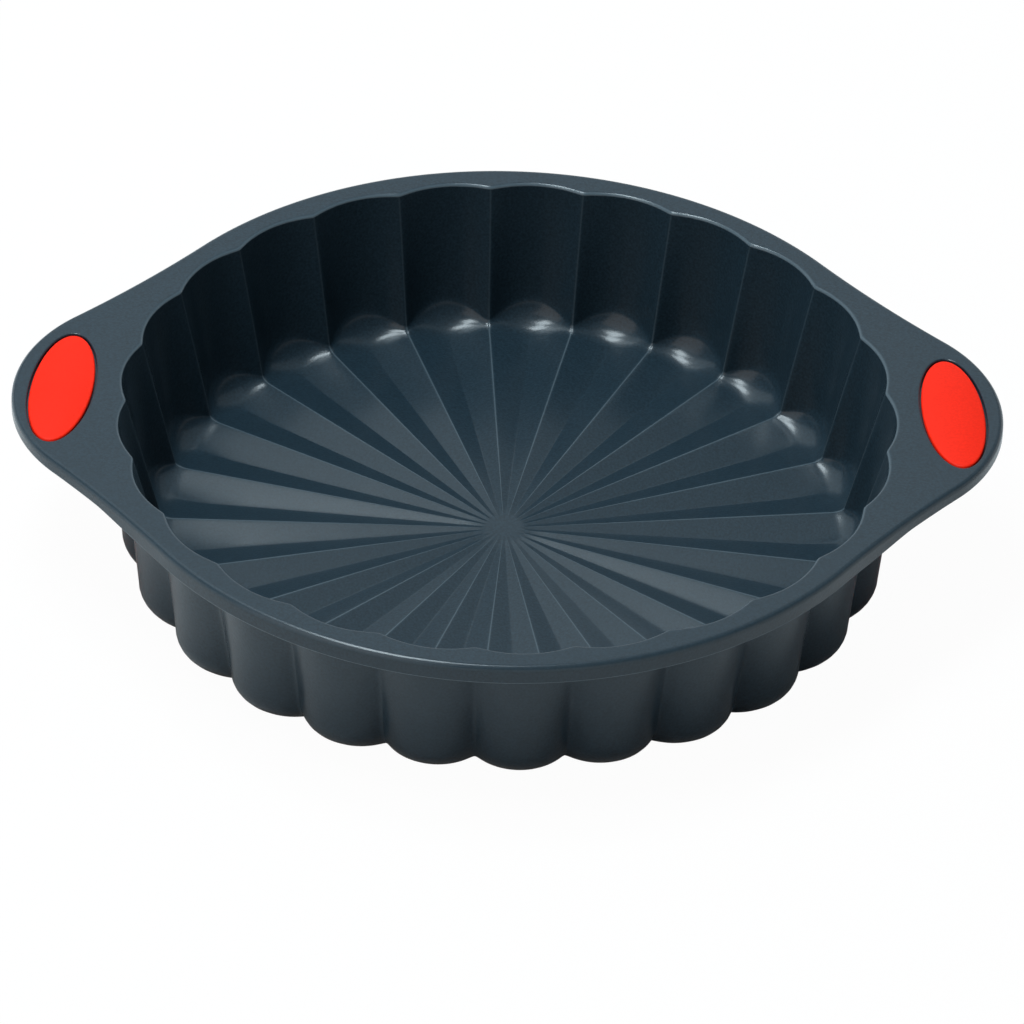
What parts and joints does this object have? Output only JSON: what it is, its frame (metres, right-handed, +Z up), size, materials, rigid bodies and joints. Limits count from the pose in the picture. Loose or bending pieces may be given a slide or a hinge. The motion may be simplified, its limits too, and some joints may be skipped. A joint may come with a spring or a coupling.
{
  "type": "silicone charlotte mould",
  "caption": "Round fluted silicone baking mould with a pleated floor, a flat stiffened rim and an oval grip in each of its two ears.",
  "frame": {"origin": "centre of the base, on the surface that the mould stands on", "axes": "+Z up out of the open top, +X through the right ear, +Y away from the front"},
  "size_m": [0.303, 0.253, 0.053],
  "materials": {
    "silicone": "satin slate-grey silicone with a fine matt grain",
    "grip_silicone": "satin red silicone",
    "steel_wire": "drawn wire"
  },
  "bodies": {
    "root": {"mould_body": "silicone", "rim_hoop": "steel_wire", "grip_left": "grip_silicone", "grip_right": "grip_silicone"}
  },
  "joints": []
}
